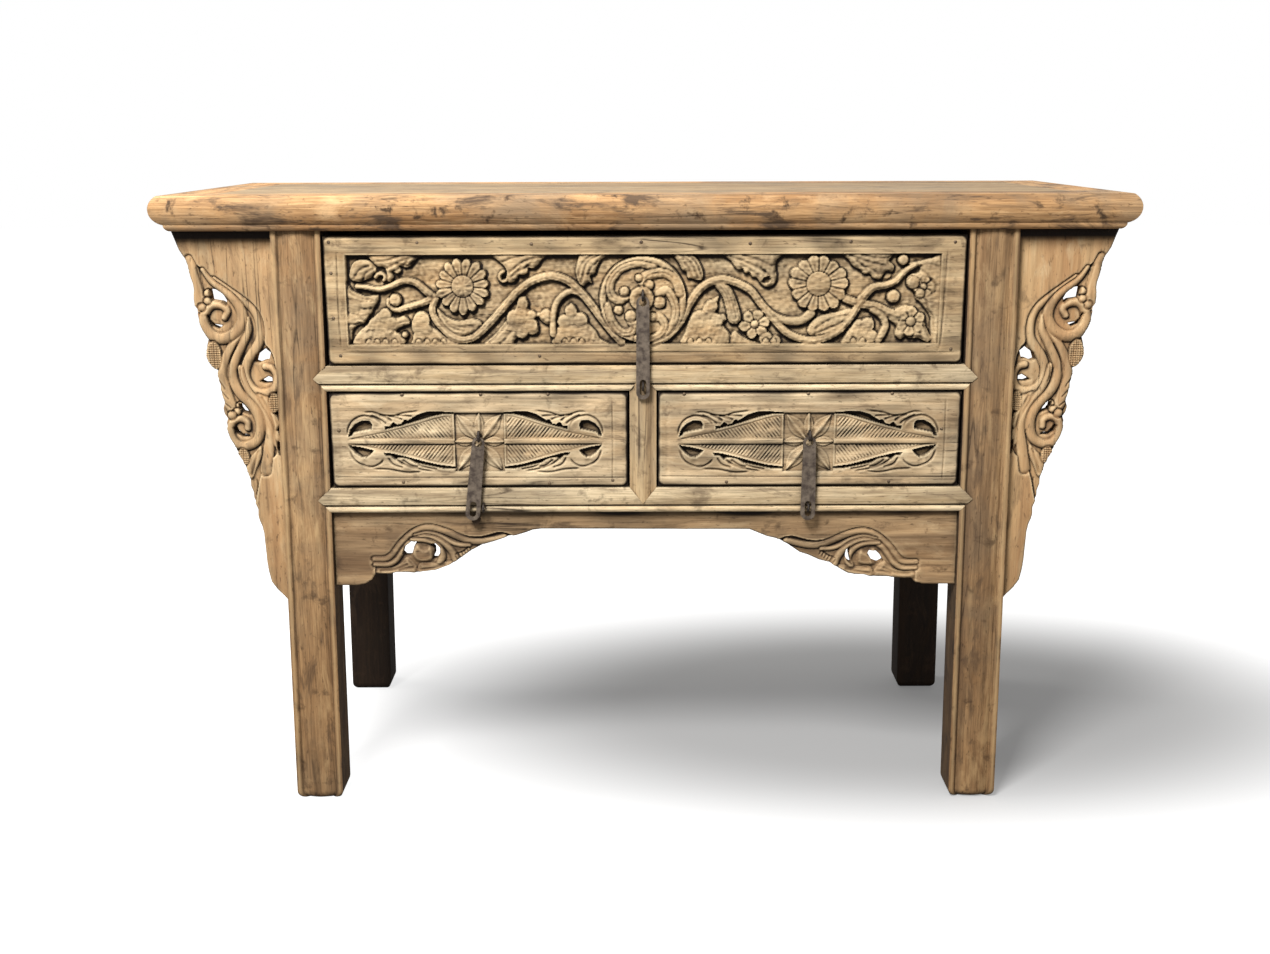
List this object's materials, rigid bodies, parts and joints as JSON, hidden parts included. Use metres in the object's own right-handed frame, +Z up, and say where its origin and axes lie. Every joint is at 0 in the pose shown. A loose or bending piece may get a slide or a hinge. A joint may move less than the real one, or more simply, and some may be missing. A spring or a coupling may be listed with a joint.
{
  "type": "chinese altar table",
  "caption": "Long side table with a moulded top, splayed legs, one wide carved drawer over two short ones, pierced spandrels, a shaped apron and iron strap pulls.",
  "frame": {"origin": "on the floor, under the middle of the table", "axes": "+X along the front to the viewer's right, +Y from the front to the back, +Z up"},
  "size_m": [1.278, 0.497, 0.85],
  "materials": {
    "weathered_elm": "dry, weathered and worn",
    "top_elm": "worn, greyed on the flat top",
    "dark_elm": "old dark stain",
    "inner_elm": "bare, dusty",
    "wrought_iron": "brown rust patina"
  },
  "bodies": {
    "frame": {"top_front_rail": "top_elm", "top_back_rail": "top_elm", "top_left_end": "top_elm", "top_right_end": "top_elm", "top_panel_front": "top_elm", "top_panel_back": "top_elm", "top_batten_left": "inner_elm", "top_batten_right": "inner_elm", "leg_front_left": "weathered_elm", "leg_front_right": "weathered_elm", "leg_back_left": "dark_elm", "leg_back_right": "dark_elm", "mid_rail_front": "weathered_elm", "lower_rail_front": "weathered_elm", "divider_post": "weathered_elm", "apron_front": "weathered_elm", "apron_peg": "dark_elm", "spandrel_front_left": "weathered_elm", "spandrel_front_right": "weathered_elm", "spandrel_back_left": "weathered_elm", "spandrel_back_right": "weathered_elm", "back_rail_top": "dark_elm", "back_rail_mid": "dark_elm", "back_rail_low": "dark_elm", "back_panel_upper": "dark_elm", "back_panel_lower": "dark_elm", "side_panel_left": "weathered_elm", "side_panel_right": "weathered_elm", "side_rail_top_left": "weathered_elm", "side_rail_top_right": "weathered_elm", "side_rail_low_left": "weathered_elm", "side_rail_low_right": "weathered_elm", "upper_runner_left": "inner_elm", "upper_runner_right": "inner_elm", "lower_runner_left": "inner_elm", "lower_runner_right": "inner_elm", "centre_bearer": "inner_elm", "centre_runner": "inner_elm", "lock_staples": "wrought_iron"},
    "upper_drawer": {"upper_drawer_front": "weathered_elm", "upper_drawer_side_left": "inner_elm", "upper_drawer_side_right": "inner_elm", "upper_drawer_back": "inner_elm", "upper_drawer_bottom": "inner_elm", "upper_ring_eye": "wrought_iron"},
    "lower_left_drawer": {"lower_left_drawer_front": "weathered_elm", "lower_left_drawer_side_left": "inner_elm", "lower_left_drawer_side_right": "inner_elm", "lower_left_drawer_back": "inner_elm", "lower_left_drawer_bottom": "inner_elm", "lower_left_ring_eye": "wrought_iron"},
    "lower_right_drawer": {"lower_right_drawer_front": "weathered_elm", "lower_right_drawer_side_left": "inner_elm", "lower_right_drawer_side_right": "inner_elm", "lower_right_drawer_back": "inner_elm", "lower_right_drawer_bottom": "inner_elm", "lower_right_ring_eye": "wrought_iron"},
    "upper_strap_body": {"upper_strap": "wrought_iron"},
    "lower_left_strap_body": {"lower_left_strap": "wrought_iron"},
    "lower_right_strap_body": {"lower_right_strap": "wrought_iron"}
  },
  "joints": [
    {"name": "upper_drawer_slide", "type": "slide", "parent": "frame", "child": "upper_drawer", "axis": [0, -1, 0], "range_m": [0, 0.32]},
    {"name": "lower_left_drawer_slide", "type": "slide", "parent": "frame", "child": "lower_left_drawer", "axis": [0, -1, 0], "range_m": [0, 0.32]},
    {"name": "lower_right_drawer_slide", "type": "slide", "parent": "frame", "child": "lower_right_drawer", "axis": [0, -1, 0], "range_m": [0, 0.32]},
    {"name": "upper_strap_lift", "type": "hinge", "parent": "upper_drawer", "child": "upper_strap_body", "pos_m": [-0.003, -0.2393, 0.718], "axis": [-1, 0, 0], "range_deg": [0, 110]},
    {"name": "lower_left_strap_lift", "type": "hinge", "parent": "lower_left_drawer", "child": "lower_left_strap_body", "pos_m": [-0.22338, -0.2393, 0.53], "axis": [-0.9945, 0, 0.1045], "range_deg": [0, 110]},
    {"name": "lower_right_strap_lift", "type": "hinge", "parent": "lower_right_drawer", "child": "lower_right_strap_body", "pos_m": [0.22038, -0.2393, 0.53], "axis": [-1, 0, 0], "range_deg": [0, 110]}
  ]
}
